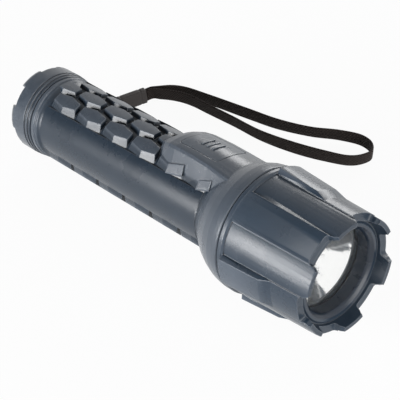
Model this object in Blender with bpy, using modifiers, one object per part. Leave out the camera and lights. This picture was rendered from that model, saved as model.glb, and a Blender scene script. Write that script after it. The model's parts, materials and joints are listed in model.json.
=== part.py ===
"""Two-cell flashlight with a honeycomb grip, built as separate pieces in metres.

The pieces are modelled in the flashlight's own frame: +Z runs from the tail to the head, +X points out
through the switch and +Y to the side that faces the viewer. An angle round the barrel is measured from
+X towards +Y. The empty "flashlight_frame" then lays this frame down: the axis runs along world +X and
rises a little, the head lies on two of its raised platforms, and the switch leans away from the viewer.
"""
import math

import bmesh
import bpy
import numpy as np
from mathutils import Matrix, Vector

# Clearances
FIT = 0.0003                 # gap between pieces that seat on each other
BUTTON_GAP = 0.00035         # gap round the push button
STEPS = 56                   # facets of a turned piece
SMALL_STEPS = 32             # facets of a small turned piece

# Cells
CELL_R = 0.01695
CELL_CAN = 0.0600            # length of a cell without its positive nub
CELL_NUB_R = 0.0048
CELL_NUB = 0.0015

# Barrel tube, which holds the cells
TUBE_WALL = 0.00135
TUBE_BORE_R = CELL_R + 0.0004
TUBE_R = TUBE_BORE_R + TUBE_WALL
BARREL_SKIN = 0.0011         # moulded skin under the slots between the grip tiles
BARREL_R = TUBE_R + FIT + BARREL_SKIN    # floor of those slots

# Tail cap, from the tips of its lugs at Z = 0
TAIL_R = BARREL_R + 0.0036
TAIL_LENGTH = 0.0170
TAIL_LUG = 0.0040            # how far a lug stands behind the notches
TAIL_LUG_COUNT = 6
TAIL_LUG_FIRST = 31.5        # angle of the first lug's middle, degrees
TAIL_LUG_SPAN = 30.0         # width of a lug, degrees
TAIL_RIM = 0.0062            # radial width of the lugged rim
TAIL_DISH = 0.0015           # how far the rear face lies in front of the notches
TAIL_WALL = 0.0020

# Tail spring
SPRING_WIRE_R = 0.0006
SPRING_TAIL_R = 0.0105
SPRING_CELL_R = 0.0060
SPRING_TURNS = 5.5
SPRING_LENGTH = 0.0129
SPRING_CURL_POINTS = 10

# Housing: collar, grip and neck bell
COLLAR_R = BARREL_R + 0.0027
COLLAR_LENGTH = 0.0042
BAND_HEIGHT = 0.0009
BAND_FROM = 54.0             # a side band's first and last angle, degrees
BAND_TO = 126.0
TILE_PITCH = 0.0206
TILE_LENGTH = 0.0168
TILE_WIDTH = 0.0074          # from side corner to side corner
TILE_END = 0.0042            # width of the straight edge at each end
TILE_TOP = BARREL_R + 0.0023             # distance of a tile's flat top from the axis
TILE_DRAFT = 0.25            # how much a wall leans out on its way down
TILE_ROWS = 15               # rows that a full wrap of the honeycomb would have
TILE_FIRST = 0.0347          # middle of the first tile, along the axis
TILE_HALF_ROWS = (-2, -1, 0, 1)          # rows on each half of the mould
NECK_LENGTH = 0.0274         # from the end of the grip to the seam of the head
NECK_R = 0.0320

# Switch platform and button
PLATFORM_STATIONS = (        # distance from the end of the grip, crest height over the slot floor, half width
    (-0.0390, 0.0005, 0.0060), (-0.0366, 0.0035, 0.0082), (-0.0334, 0.0057, 0.0100),
    (-0.0292, 0.0072, 0.0112), (-0.0240, 0.0080, 0.0119), (-0.0120, 0.0082, 0.0122),
    (-0.0010, 0.0078, 0.0125), (0.0070, 0.0073, 0.0130), (0.0150, 0.0070, 0.0137))
PLATFORM_CROWN_R = 0.040
PLATFORM_SHOULDER = 0.0020
PLATFORM_FLANK = (BARREL_R - 0.0039, 0.0034)  # height where a flank gives way to a wall, and its reach past the top
PLATFORM_FLARE = 0.0038
BUTTON_BEHIND = 0.0122       # the button's middle, behind the end of the grip
BUTTON_LENGTH = 0.0256
BUTTON_WIDTH = 0.0196
BUTTON_CORNER = 0.0016
BUTTON_THICK = 0.0019
BUTTON_TRAVEL = 0.0012
BUTTON_CREST = BARREL_R + 0.0082
GRIP_BARS = 3
GRIP_BAR = (0.0004, 0.0086, 0.0014)      # height, width, length of a bar on the button
GRIP_BAR_STEP = 0.0036

# Head
HEAD_CLOCK = 48.5            # angle of the middle of a bare notch sector, degrees
HEAD_SECTORS = 12
HEAD_LENGTH = 0.0529
HEAD_REAR_R = NECK_R - 0.0003
HEAD_FRONT_R = NECK_R - 0.0024
HEAD_LUG = 0.0049            # how far the lugs stand in front of the notches
NOTCH_HALF = 18.0            # half the width of a notch at its mouth, degrees
NOTCH_SIDE = ((1.0, 0.0060), (0.97, 0.0042), (0.86, 0.0028), (0.82, 0.0013), (0.76, 0.0004), (0.66, 0.0))
PANEL_RECESS = 0.0005        # how deep a lug's panel lies under the shell
PLATFORM_R = NECK_R + 0.0020             # radius over the rear edge of the five raised platforms
PLATFORM_FRONT_R = NECK_R + 0.0002       # radius where their tops turn down to the shell
RAISED_LENGTH = 0.0230
RAISED_SLOPE = 0.0090
RAISED_SECTORS = (1, 2, 3, 4, 5)
LENS_R = 0.0223
THROAT_R = LENS_R - 0.0015
THROAT_FRONT = 0.0454        # the throat's front edge, from the seam

# Lens, reflector and what clamps them
REFLECTOR_RIM_R = LENS_R - 0.0020
REFLECTOR_RIM = 0.0356       # the reflector's rim, from the seam
REFLECTOR_DEPTH = 0.0220
REFLECTOR_HOLE_R = 0.0040
REFLECTOR_WALL = 0.0012
FLANGE = 0.0027
LENS_THICK = 0.0017
GASKET_THICK = 0.0006
CLAMP_LENGTH = 0.0030

# Neck ring and light engine
RING_R = NECK_R - 0.0047
RING_WALL = 0.0038
RING_LENGTH = 0.0225
RING_BEHIND = 0.0089         # length of the ring inside the neck
ORING_WIRE_R = 0.0010
ORING_GROOVE = 0.0023
SINK_DISC = 0.0060
SINK_POST_R = 0.0110
SINK_TOP = 0.0096            # top of the heatsink's post, from the seam
BOARD_R = 0.0100
BOARD_THICK = 0.0016
EMITTER_SIDE = 0.0050
EMITTER_DOME_R = 0.0023

# Contacts
CARRIER_LENGTH = 0.0038
CONTACT_R = 0.0050
CONTACT_LENGTH = 0.0022
LEAD_R = 0.0006
LEAD_SPREAD = 0.0025

# Strap
LUG_ANGLE = -90.0            # side of the barrel that carries the strap lug, degrees
LUG_THICK = 0.0030
LUG_REACH = BARREL_R + 0.0081
LUG_REAR = 0.0184
LUG_LENGTH = 0.0108
LUG_HOLE_R = 0.0018
LUG_HOLE = (BARREL_R + 0.0051, 0.0240)   # radius and distance along the axis of its hole
STRING_R = 0.0009
KNOT_R = 0.0026
BAND_WIDTH = 0.0078
BAND_THICK = 0.0013
SLEEVE = (0.0210, 0.0046, 0.0090)        # length, thickness, height of the keeper
SLEEVE_FRONT = (-0.0953, 0.0586)         # where the band leaves the keeper, on the floor
SLEEVE_TURN = 72.0                       # direction of the keeper on the floor, degrees
STRING_ROUTE = ((-0.0871, 0.0215, 0.0085), (-0.0889, 0.0216, 0.0040), (-0.0929, 0.0229, 0.0016),
                (-0.0983, 0.0252, 0.0014), (-0.1026, 0.0286, 0.0027))
BAND_ROUTE = (               # along the floor, out on the far strand and back on the near one
    (-0.0927, 0.0653), (-0.0869, 0.0714), (-0.0797, 0.0753), (-0.0645, 0.0788), (-0.0371, 0.0839),
    (-0.0186, 0.0876), (0.0002, 0.0944), (0.0135, 0.1019), (0.0258, 0.1062), (0.0334, 0.1049), (0.0375, 0.1002),
    (0.0362, 0.0944), (0.0319, 0.0893), (0.0196, 0.0838), (0.0022, 0.0783), (-0.0188, 0.0743),
    (-0.0388, 0.0736), (-0.0583, 0.0725), (-0.0696, 0.0719), (-0.0773, 0.0704), (-0.0845, 0.0675),
    (-0.0899, 0.0643))

# Places that follow from the sizes above
TAIL_FLOOR = TAIL_LUG + TAIL_DISH + TAIL_WALL
CONTACT_DISC = 0.0010
SPRING_START = TAIL_FLOOR + FIT + CONTACT_DISC + FIT
REAR_CELL = SPRING_START + SPRING_LENGTH + FIT
FRONT_CELL = REAR_CELL + CELL_CAN + CELL_NUB + FIT
CELLS_END = FRONT_CELL + CELL_CAN + CELL_NUB
CARRIER_START = CELLS_END + FIT + CONTACT_LENGTH + FIT
TUBE_REAR = TAIL_FLOOR + 0.0025
TUBE_FRONT = CARRIER_START + CARRIER_LENGTH + FIT
SEAM = TUBE_FRONT + 0.0070 + RING_BEHIND     # where the head begins
NECK_START = SEAM - NECK_LENGTH
BUTTON_MIDDLE = NECK_START - BUTTON_BEHIND
HOUSING_REAR = TAIL_LENGTH + FIT
HOUSING_FRONT = SEAM - FIT
HEAD_FRONT = SEAM + HEAD_LENGTH
NOTCH_FLOOR = HEAD_FRONT - HEAD_LUG
RIM = SEAM + REFLECTOR_RIM
LENS_BACK = RIM + FIT
GASKET_BACK = LENS_BACK + LENS_THICK + FIT
LENS_SHOULDER = GASKET_BACK + GASKET_THICK + FIT
CLAMP_FRONT = RIM - FLANGE - FIT
CLAMP_BACK = CLAMP_FRONT - CLAMP_LENGTH
RING_BACK = SEAM - RING_BEHIND
RING_FRONT = RING_BACK + RING_LENGTH
HEAD_BORE_R = RING_R + FIT
RAISED_REAR = SEAM + 0.0036
SINK_BACK = RING_BACK + 0.0005
SINK_FRONT = SEAM + SINK_TOP
BUTTON_FLOOR = BUTTON_CREST - BUTTON_THICK


def clear_scene():
    for obj in list(bpy.data.objects):
        bpy.data.objects.remove(obj, do_unlink=True)


def collection(name):
    made = bpy.data.collections.new(name)
    bpy.context.scene.collection.children.link(made)
    return made


def material(name, colour, roughness, metallic=0.0):
    """A plain Principled material."""
    made = bpy.data.materials.new(name)
    made.use_nodes = True
    shader = made.node_tree.nodes["Principled BSDF"]
    shader.inputs["Base Color"].default_value = (*colour, 1.0)
    shader.inputs["Roughness"].default_value = roughness
    shader.inputs["Metallic"].default_value = metallic
    return made


clear_scene()
PARTS = collection("flashlight")
CUTTERS = collection("construction")

BODY = material("moulded_body", (0.085, 0.115, 0.150), 0.45)
RUBBER = material("seal_rubber", (0.02, 0.02, 0.022), 0.8)
ALUMINIUM = material("aluminium", (0.62, 0.63, 0.65), 0.35, 1.0)
STEEL = material("spring_steel", (0.60, 0.60, 0.60), 0.3, 1.0)
BRASS = material("brass", (0.75, 0.58, 0.28), 0.3, 1.0)
CHROME = material("reflector_coating", (0.90, 0.90, 0.90), 0.06, 1.0)
CLEAR = material("lens_plastic", (0.85, 0.90, 0.92), 0.05)
CELL = material("cell_jacket", (0.05, 0.05, 0.06), 0.4)
BOARD = material("circuit_board", (0.03, 0.16, 0.07), 0.5)
PLASTIC = material("black_plastic", (0.03, 0.03, 0.03), 0.5)
LED = material("led_phosphor", (0.85, 0.72, 0.20), 0.3)
WIRE = material("wire_red", (0.45, 0.03, 0.03), 0.5)
WEBBING = material("strap_webbing", (0.025, 0.018, 0.014), 0.85)


def empty(name, parent=None, place=(0.0, 0.0, 0.0)):
    """A plain axes empty that carries the pieces of one moving body."""
    made = bpy.data.objects.new(name, None)
    made.empty_display_size = 0.02
    made.location = place
    made.parent = parent
    PARTS.objects.link(made)
    return made


def place_object(name, mesh, finish, parent):
    """Put a mesh in the scene as a part, or as a cutter where it has no finish."""
    made = bpy.data.objects.new(name, mesh)
    if finish is None:
        CUTTERS.objects.link(made)
        made.hide_render = True
        made.display_type = "WIRE"
    else:
        PARTS.objects.link(made)
        mesh.materials.append(finish)
    made.parent = parent
    return made


def mesh_from(bm, name):
    bmesh.ops.recalc_face_normals(bm, faces=bm.faces)
    mesh = bpy.data.meshes.new(name)
    bm.to_mesh(mesh)
    bm.free()
    mesh.shade_smooth()
    mesh.set_sharp_from_angle(angle=math.radians(32))
    return mesh


def signed_area(points):
    """Area of a closed outline, negative when it runs clockwise."""
    following = points[1:] + points[:1]
    return 0.5 * sum(a[0] * b[1] - b[0] * a[1] for a, b in zip(points, following))


def turned(name, profile, finish, parent, steps=STEPS):
    """Turn a profile of (radius, distance along the axis) round the axis with a Screw modifier."""
    outline = list(profile) if signed_area(list(profile)) < 0 else list(reversed(profile))
    on_axis = [i for i, point in enumerate(outline) if point[0] == 0.0]
    if on_axis:
        start = next(i for i in on_axis if outline[i - 1][0] == 0.0)
        outline = outline[start:] + outline[:start]
    count = len(outline)
    edges = [(i, i + 1) for i in range(count - 1)]
    if not on_axis:
        edges.append((count - 1, 0))
    mesh = bpy.data.meshes.new(name)
    mesh.from_pydata([(r, 0.0, z) for r, z in outline], edges, [])
    made = place_object(name, mesh, finish, parent)
    screw = made.modifiers.new("turn", "SCREW")
    screw.axis = "Z"
    screw.steps = steps
    screw.render_steps = steps
    screw.use_merge_vertices = True
    screw.merge_threshold = 0.00001
    screw.use_smooth_shade = True
    return made


def polar(radius, angle, along):
    """A point from its radius, its angle in degrees and its distance along the axis."""
    return (radius * math.cos(math.radians(angle)), radius * math.sin(math.radians(angle)), along)


def sector(name, profile, first, last, parent, finish=None, step=7.5):
    """Spin a closed (radius, distance) outline through part of a turn, from one angle to another."""
    bm = bmesh.new()
    ring = [bm.verts.new((r, 0.0, z)) for r, z in profile]
    face = bm.faces.new(ring)
    turn_to_start = Matrix.Rotation(math.radians(first), 4, "Z")
    bmesh.ops.rotate(bm, verts=bm.verts, cent=(0, 0, 0), matrix=turn_to_start)
    steps = max(1, round((last - first) / step))
    bmesh.ops.spin(bm, geom=[face] + list(face.edges) + list(face.verts), cent=(0, 0, 0), axis=(0, 0, 1),
                   angle=math.radians(last - first), steps=steps)
    bmesh.ops.holes_fill(bm, edges=bm.edges)
    return place_object(name, mesh_from(bm, name), finish, parent)


def box(name, low, high, finish, parent, bevel=0.0):
    """A box between two corners, with rounded edges where a bevel is given."""
    bm = bmesh.new()
    bmesh.ops.create_cube(bm, size=1.0)
    size = Vector(high) - Vector(low)
    middle = (Vector(high) + Vector(low)) / 2
    bmesh.ops.scale(bm, vec=size, verts=bm.verts)
    bmesh.ops.translate(bm, vec=middle, verts=bm.verts)
    made = place_object(name, mesh_from(bm, name), finish, parent)
    if bevel:
        rounding = made.modifiers.new("round", "BEVEL")
        rounding.width = bevel
        rounding.segments = 2
    return made


def rod(name, start, end, radius, finish, parent, steps=16):
    """A round bar between two points."""
    bm = bmesh.new()
    direction = Vector(end) - Vector(start)
    bmesh.ops.create_cone(bm, cap_ends=True, segments=steps, radius1=radius, radius2=radius,
                          depth=direction.length)
    turn = direction.to_track_quat("Z", "Y").to_matrix().to_4x4()
    bmesh.ops.transform(bm, matrix=Matrix.Translation((Vector(start) + Vector(end)) / 2) @ turn, verts=bm.verts)
    return place_object(name, mesh_from(bm, name), finish, parent)


def loft(name, sections, finish, parent):
    """Skin a row of closed sections that all have the same number of points, and cap both ends."""
    bm = bmesh.new()
    rings = [[bm.verts.new(point) for point in section] for section in sections]
    count = len(rings[0])
    for lower, upper in zip(rings, rings[1:]):
        for i in range(count):
            j = (i + 1) % count
            bm.faces.new((lower[i], lower[j], upper[j], upper[i]))
    bm.faces.new(rings[0])
    bm.faces.new(rings[-1])
    return place_object(name, mesh_from(bm, name), finish, parent)


def combine(target, tool, operation):
    """Add a Boolean that joins a tool to a piece or cuts it out."""
    change = target.modifiers.new(tool.name, "BOOLEAN")
    change.operation = operation
    change.solver = "EXACT"
    change.object = tool


def tube_curve(name, points, radius, finish, parent, resolution=2):
    """A round wire along a row of points, as a curve with filled caps."""
    data = bpy.data.curves.new(name, "CURVE")
    data.dimensions = "3D"
    data.bevel_depth = radius
    data.bevel_resolution = resolution
    data.use_fill_caps = True
    spline = data.splines.new("POLY")
    spline.points.add(len(points) - 1)
    for target, point in zip(spline.points, points):
        target.co = (*point, 1.0)
    made = bpy.data.objects.new(name, data)
    PARTS.objects.link(made)
    data.materials.append(finish)
    made.parent = parent
    return made


def smooth_route(route, count):
    """Read points at equal steps along a smooth curve (centripetal Catmull-Rom) through the route's points."""
    route = np.asarray(route, float)
    ends = np.vstack([2 * route[0] - route[1], route, 2 * route[-1] - route[-2]])
    pieces = []
    for a, b, c, d in zip(ends, ends[1:], ends[2:], ends[3:]):
        t0 = 0.0
        t1 = t0 + math.sqrt(np.linalg.norm(b - a))
        t2 = t1 + math.sqrt(np.linalg.norm(c - b))
        t3 = t2 + math.sqrt(np.linalg.norm(d - c))
        t = np.linspace(t1, t2, 24, endpoint=False)[:, None]
        ab = (t1 - t) / (t1 - t0) * a + (t - t0) / (t1 - t0) * b
        bc = (t2 - t) / (t2 - t1) * b + (t - t1) / (t2 - t1) * c
        cd = (t3 - t) / (t3 - t2) * c + (t - t2) / (t3 - t2) * d
        abc = (t2 - t) / (t2 - t0) * ab + (t - t0) / (t2 - t0) * bc
        bcd = (t3 - t) / (t3 - t1) * bc + (t - t1) / (t3 - t1) * cd
        pieces.append((t2 - t) / (t2 - t1) * abc + (t - t1) / (t2 - t1) * bcd)
    fine = np.vstack(pieces + [route[-1:]])
    along = np.concatenate([[0.0], np.cumsum(np.linalg.norm(np.diff(fine, axis=0), axis=1))])
    wanted = np.linspace(0.0, along[-1], count)
    return np.stack([np.interp(wanted, along, fine[:, axis]) for axis in range(3)], axis=1)


def swept(name, route, section, up, finish, parent):
    """Skin a closed section along a route; the section's second axis starts along up and turns as little as it can."""
    route = np.asarray(route, float)
    tangents = np.gradient(route, axis=0)
    tangents[0], tangents[-1] = route[1] - route[0], route[-1] - route[-2]
    tangents /= np.linalg.norm(tangents, axis=1)[:, None]
    raised = np.asarray(up, float)
    sections = []
    for point, tangent in zip(route, tangents):
        raised = raised - tangent * (raised @ tangent)
        raised /= np.linalg.norm(raised)
        across = np.cross(tangent, raised)
        sections.append([tuple(point + a * across + b * raised) for a, b in section])
    return loft(name, sections, finish, parent)


# Placing: the head lies on two neighbouring platforms, and the axis rises from the tail cap's edge to them
REST_BETWEEN = (2, 3)        # which two notch sectors' platforms the head lies on
SECTOR_PAIR = 360.0 / (HEAD_SECTORS / 2)
REST_ROLL = HEAD_CLOCK + SECTOR_PAIR * sum(REST_BETWEEN) / 2 - 180.0
HALF_GAP = math.radians(SECTOR_PAIR / 4)
TAIL_TOUCH = (TAIL_R, TAIL_LUG)
HEAD_TOUCH = (PLATFORM_R * math.cos(HALF_GAP), RAISED_REAR)
TILT = math.atan2(HEAD_TOUCH[0] - TAIL_TOUCH[0], HEAD_TOUCH[1] - TAIL_TOUCH[1])
MIDDLE = HEAD_FRONT / 2


def resting_frame():
    """World matrix that lays the flashlight on the floor with its middle over the origin."""
    lay_down = Matrix(((0, 0, 1, 0), (0, -1, 0, 0), (1, 0, 0, 0), (0, 0, 0, 1)))
    tilt = Matrix.Rotation(-TILT, 4, "Y")
    laid = tilt @ lay_down @ Matrix.Rotation(-math.radians(REST_ROLL), 4, "Z")
    touch = laid @ Vector(polar(TAIL_TOUCH[0], REST_ROLL + 180.0, TAIL_TOUCH[1]))
    middle = laid @ Vector((0.0, 0.0, MIDDLE))
    return Matrix.Translation((-middle.x, 0.0, -touch.z)) @ laid


FLASHLIGHT = empty("flashlight_frame")
FLASHLIGHT.matrix_world = resting_frame()
HEAD_CARRIER = empty("head_carrier_frame", FLASHLIGHT)
HEAD = empty("head_frame", HEAD_CARRIER)
TAIL_CARRIER = empty("tail_carrier_frame", FLASHLIGHT)
TAIL = empty("tail_frame", TAIL_CARRIER)
SWITCH = empty("switch_frame", FLASHLIGHT, (0.0, 0.0, BUTTON_MIDDLE))


def platform_section(along, crest, half_width):
    """Closed outline of the switch platform at one station: crowned top, round shoulders, flared sides."""
    top_y = np.linspace(-half_width, half_width, 9)
    top_x = crest - (PLATFORM_CROWN_R - np.sqrt(PLATFORM_CROWN_R ** 2 - top_y ** 2))
    shoulder_y = half_width + PLATFORM_SHOULDER * np.array([0.65, 1.0])
    shoulder_x = top_x[-1] - PLATFORM_SHOULDER * np.array([0.30, 1.0])
    flank = (PLATFORM_FLANK[0], half_width + PLATFORM_FLANK[1])
    foot = (0.0120, half_width + PLATFORM_FLARE)
    right = [(x, y) for x, y in zip(shoulder_x, shoulder_y)] + [flank, foot]
    left = [(x, -y) for x, y in reversed(right)]
    outline = left + list(zip(top_x, top_y)) + right
    return [(float(x), float(y), along) for x, y in outline]


def platform_solid(name):
    sections = [platform_section(NECK_START + ahead, BARREL_R + rise, half_width)
                for ahead, rise, half_width in PLATFORM_STATIONS]
    return loft(name, sections, None, FLASHLIGHT)


def tile_rows():
    """Side of the mould, angle and the distances along the axis of every row of grip tiles."""
    row_angle = 360.0 / TILE_ROWS
    for half in (1, -1):
        for row in TILE_HALF_ROWS:
            start = TILE_FIRST - (TILE_PITCH / 2 if row % 2 == 0 else 0.0)
            angle = row_angle * (row + 0.5)
            limit = NECK_START - 0.002
            if half == 1 and abs(angle) < row_angle:
                limit = NECK_START + PLATFORM_STATIONS[0][0] + TILE_LENGTH / 2
            places = []
            while start < limit:
                places.append(start)
                start += TILE_PITCH
            yield half, angle, places


def grip_tiles():
    """All hexagon tiles as one mesh: flat tops that follow the barrel, walls along the mould's pull with a draft."""
    bm = bmesh.new()
    corners = [(TILE_END / 2, TILE_LENGTH / 2, 0.84, 1.0), (TILE_WIDTH / 2, 0.0, 1.015, 0.0),
               (TILE_END / 2, -TILE_LENGTH / 2, 0.84, -1.0), (-TILE_END / 2, -TILE_LENGTH / 2, -0.84, -1.0),
               (-TILE_WIDTH / 2, 0.0, -1.015, 0.0), (-TILE_END / 2, TILE_LENGTH / 2, -0.84, 1.0)]
    for half, angle, places in tile_rows():
        turn = Matrix.Rotation(math.radians(angle), 4, "Z")
        root = (BARREL_R - 0.0009) * math.cos(math.radians(abs(angle) + 20.0))
        for along in places:
            top, foot = [], []
            for across, forward, side_share, end_share in corners:
                place = turn @ Vector((TILE_TOP, across, along + forward))
                lean = TILE_DRAFT * (place.x - root)
                top.append(bm.verts.new((half * place.x, place.y, place.z)))
                foot.append(bm.verts.new((half * root, place.y + side_share * lean, place.z + end_share * lean)))
            for k in range(6):
                bm.faces.new((top[k], top[(k + 1) % 6], foot[(k + 1) % 6], foot[k]))
            bm.faces.new(top)
            bm.faces.new(foot)
    tiles = place_object("tile_tool", mesh_from(bm, "tile_tool"), None, FLASHLIGHT)
    first = HOUSING_REAR + COLLAR_LENGTH - 0.0005
    reach = [(0.0, first), (TILE_TOP + 0.002, first), (TILE_TOP + 0.002, NECK_START + 0.004), (0.0, NECK_START + 0.004)]
    combine(tiles, turned("tile_reach_tool", reach, None, FLASHLIGHT, SMALL_STEPS), "INTERSECT")
    return tiles


def make_housing():
    """Moulded skin of the barrel: collar, honeycomb grip, side bands, switch platform and neck bell."""
    rear = HOUSING_REAR
    collar_end = rear + COLLAR_LENGTH
    outer = [(0.0, rear), (COLLAR_R - 0.0004, rear), (COLLAR_R, rear + 0.0004), (COLLAR_R, collar_end - 0.0018),
             (COLLAR_R - 0.0006, collar_end - 0.0014), (COLLAR_R - 0.0006, collar_end),
             (COLLAR_R - 0.0014, collar_end + 0.0010), (BARREL_R + 0.0003, collar_end + 0.0028),
             (BARREL_R, collar_end + 0.0048),
             (BARREL_R, NECK_START), (BARREL_R + 0.0018, NECK_START + 0.0036), (NECK_R - 0.0076, NECK_START + 0.0068),
             (NECK_R - 0.0050, NECK_START + 0.0106), (NECK_R - 0.0027, NECK_START + 0.0152),
             (NECK_R - 0.0009, NECK_START + 0.0200),
             (NECK_R - 0.0002, NECK_START + 0.0236), (NECK_R, SEAM - 0.0016), (NECK_R, HOUSING_FRONT - 0.0005),
             (NECK_R - 0.0005, HOUSING_FRONT), (0.0, HOUSING_FRONT)]
    housing = turned("body_housing", outer, BODY, FLASHLIGHT)
    combine(housing, grip_tiles(), "UNION")
    for side in (1, -1):
        first, last = sorted((side * BAND_FROM, side * BAND_TO))
        profile = [(BARREL_R - 0.002, collar_end + 0.001), (BARREL_R + BAND_HEIGHT, collar_end + 0.001),
                   (BARREL_R + BAND_HEIGHT, NECK_START + 0.0010), (BARREL_R - 0.002, NECK_START + 0.0030)]
        combine(housing, sector(f"band_tool_{side}", profile, first, last, FLASHLIGHT), "UNION")
    combine(housing, platform_solid("platform_tool"), "UNION")
    combine(housing, strap_lug(), "UNION")
    bore_r = TUBE_R + FIT
    inner = [(0.0, rear - 0.001), (bore_r, rear - 0.001), (bore_r, TUBE_FRONT - 0.002),
             (bore_r + 0.0050, TUBE_FRONT + 0.002), (RING_R + FIT, RING_BACK - 0.0010),
             (RING_R + FIT, HOUSING_FRONT + 0.001), (0.0, HOUSING_FRONT + 0.001)]
    combine(housing, turned("bore_tool", inner, None, FLASHLIGHT), "DIFFERENCE")
    cavity = box("cavity_tool", (BARREL_R - 0.003, -0.0065, BUTTON_MIDDLE - 0.0160),
                 (BUTTON_FLOOR - BUTTON_TRAVEL - FIT - 0.0012, 0.0065, RING_BACK - 0.0030), None, FLASHLIGHT)
    combine(housing, cavity, "DIFFERENCE")
    pocket = button_prism("pocket_tool", BUTTON_GAP, BUTTON_FLOOR - BUTTON_TRAVEL - FIT, BUTTON_CREST + 0.0035,
                          None)
    combine(housing, pocket, "DIFFERENCE")
    shaft = rod("shaft_tool", (BARREL_R, 0.0, BUTTON_MIDDLE), (BUTTON_FLOOR, 0.0, BUTTON_MIDDLE), 0.0045, None,
                FLASHLIGHT, 24)
    combine(housing, shaft, "DIFFERENCE")
    return housing


def strap_lug():
    """Flat lug for the strap string on the far side of the collar, with a hole through it."""
    half = LUG_THICK / 2
    lug = box("lug_tool", (BARREL_R - 0.001, -half, LUG_REAR), (LUG_REACH, half, LUG_REAR + LUG_LENGTH), None,
              FLASHLIGHT, 0.0007)
    hole = rod("lug_hole_tool", (LUG_HOLE[0], -0.01, LUG_HOLE[1]), (LUG_HOLE[0], 0.01, LUG_HOLE[1]), LUG_HOLE_R,
               None, FLASHLIGHT)
    for tool in (lug, hole):
        tool.rotation_euler = (0.0, 0.0, math.radians(LUG_ANGLE))
    combine(lug, hole, "DIFFERENCE")
    return lug


def button_prism(name, grow, low, high, finish):
    """Upright prism with the button's rounded outline, between two heights."""
    bm = bmesh.new()
    half_y = BUTTON_WIDTH / 2 + grow
    half_z = BUTTON_LENGTH / 2 + grow
    corner = BUTTON_CORNER + grow
    ring = []
    for quarter, (sy, sz) in enumerate(((1, 1), (-1, 1), (-1, -1), (1, -1))):
        for k in range(5):
            angle = math.radians(90 * quarter + 22.5 * k)
            y = sy * (half_y - corner) + corner * math.cos(angle)
            z = sz * (half_z - corner) + corner * math.sin(angle)
            ring.append(bm.verts.new((low, y, BUTTON_MIDDLE + z)))
    face = bm.faces.new(ring)
    grown = bmesh.ops.extrude_face_region(bm, geom=[face])
    moved = [item for item in grown["geom"] if isinstance(item, bmesh.types.BMVert)]
    bmesh.ops.translate(bm, vec=(high - low, 0, 0), verts=moved)
    bmesh.ops.holes_fill(bm, edges=bm.edges)
    return place_object(name, mesh_from(bm, name), finish, FLASHLIGHT)


def make_switch():
    """Push button, its plunger, the click switch and its board."""
    button = button_prism("switch_button", 0.0, BUTTON_FLOOR, BUTTON_CREST + 0.0035, BODY)
    combine(button, platform_solid("button_crown_tool"), "INTERSECT")
    height, width, length = GRIP_BAR
    for index in range(GRIP_BARS):
        along = BUTTON_MIDDLE + (index - (GRIP_BARS - 1) / 2) * GRIP_BAR_STEP
        bar = box(f"grip_bar_tool_{index}", (BUTTON_FLOOR + 0.0010, -width / 2, along - length / 2),
                  (BUTTON_CREST + height, width / 2, along + length / 2), None, FLASHLIGHT, 0.0003)
        combine(button, bar, "UNION")
    plunger_top = BUTTON_FLOOR - BUTTON_TRAVEL - FIT - 0.0001
    stem = rod("stem_tool", (plunger_top + FIT, 0, BUTTON_MIDDLE), (BUTTON_FLOOR + 0.0005, 0, BUTTON_MIDDLE), 0.0032,
               None, FLASHLIGHT, 24)
    combine(button, stem, "UNION")
    rod("switch_plunger", (plunger_top - 0.0024, 0, BUTTON_MIDDLE), (plunger_top, 0, BUTTON_MIDDLE), 0.0018, PLASTIC,
        FLASHLIGHT, 24)
    for name in ("switch_button", "switch_plunger"):
        piece = bpy.data.objects[name]
        piece.data.transform(Matrix.Translation((0.0, 0.0, -BUTTON_MIDDLE)))
        piece.parent = SWITCH
    board_low = TUBE_R + FIT
    box("switch_board", (board_low, -0.0061, BUTTON_MIDDLE - 0.0150), (board_low + 0.0012, 0.0061,
        BUTTON_MIDDLE + 0.0130), BOARD, FLASHLIGHT)
    body_low = board_low + 0.0012 + FIT
    body = box("switch_body", (body_low, -0.0045, BUTTON_MIDDLE - 0.0045),
               (plunger_top - 0.0014, 0.0045, BUTTON_MIDDLE + 0.0045), PLASTIC, FLASHLIGHT, 0.0004)
    well = rod("well_tool", (plunger_top - 0.0024 - BUTTON_TRAVEL - FIT, 0, BUTTON_MIDDLE),
               (BUTTON_CREST, 0, BUTTON_MIDDLE), 0.0022, None, FLASHLIGHT, 24)
    combine(body, well, "DIFFERENCE")
    start = BUTTON_MIDDLE + 0.0130 + FIT
    height = board_low + 0.0022
    end = SINK_BACK - FIT
    for side, name in ((1, "switch_lead_near"), (-1, "switch_lead_far")):
        y = side * LEAD_SPREAD
        route = [(height, y, start), (height, y, start + 0.003), (height + 0.0004, 1.1 * y, (start + end) / 2),
                 (height, y, end - 0.003), (height, y, end)]
        tube_curve(name, smooth_route(route, 12), LEAD_R, WIRE, FLASHLIGHT)


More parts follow.
